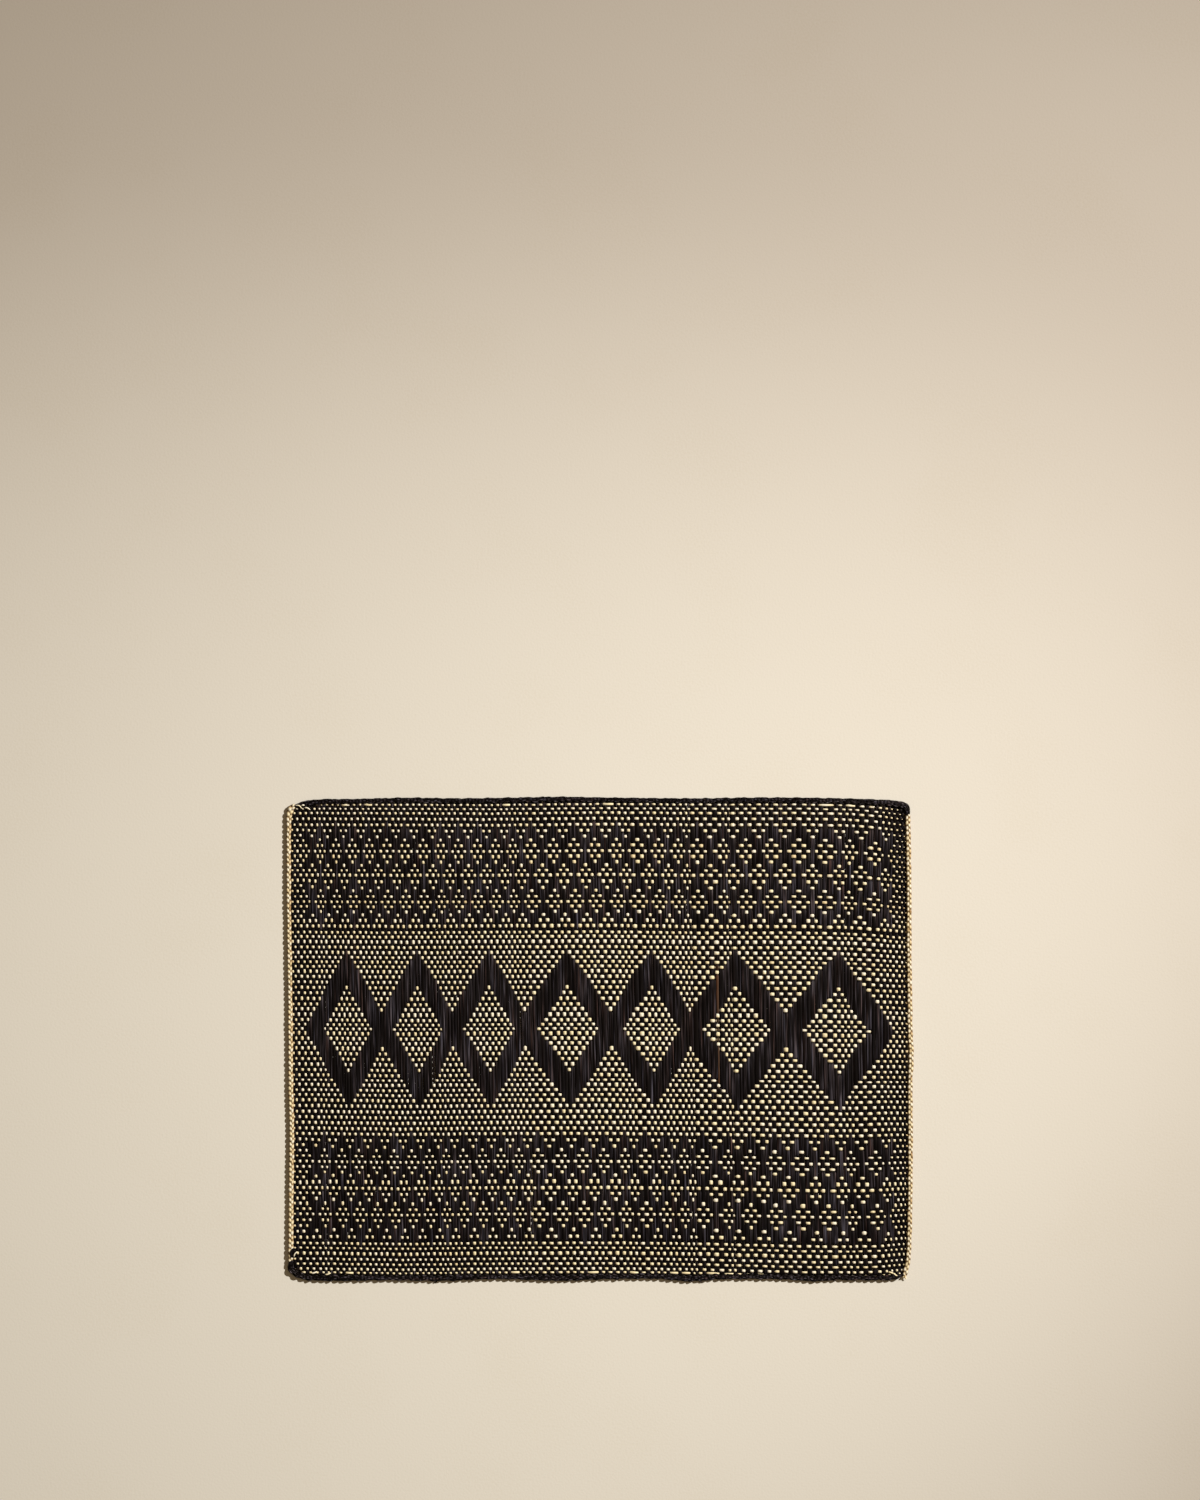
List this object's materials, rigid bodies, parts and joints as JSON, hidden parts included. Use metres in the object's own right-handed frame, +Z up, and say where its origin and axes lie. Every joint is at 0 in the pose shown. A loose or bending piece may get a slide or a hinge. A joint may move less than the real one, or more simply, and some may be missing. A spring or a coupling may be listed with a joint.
{
  "type": "woven placemat",
  "caption": "Flat oblong placemat hand-woven from black and natural palm strips, with a row of large diamonds, two bands of small diamonds and plaited edges.",
  "frame": {"origin": "under the middle of the mat, on the face that lies on the table", "axes": "+X along the long side to the right, +Y across to the top edge, +Z up out of the patterned face"},
  "size_m": [0.4516, 0.349, 0.003],
  "materials": {
    "woven_strips": "matte woven palm strip, black uprights under natural cross strips",
    "black_strip": "dyed palm strip with a low sheen, plaited",
    "natural_strip": "undyed palm strip, matte, plaited"
  },
  "bodies": {
    "root": {"woven_panel": "woven_strips", "plait_top": "black_strip", "plait_bottom": "black_strip", "plait_left": "natural_strip", "plait_right": "natural_strip"}
  },
  "joints": []
}
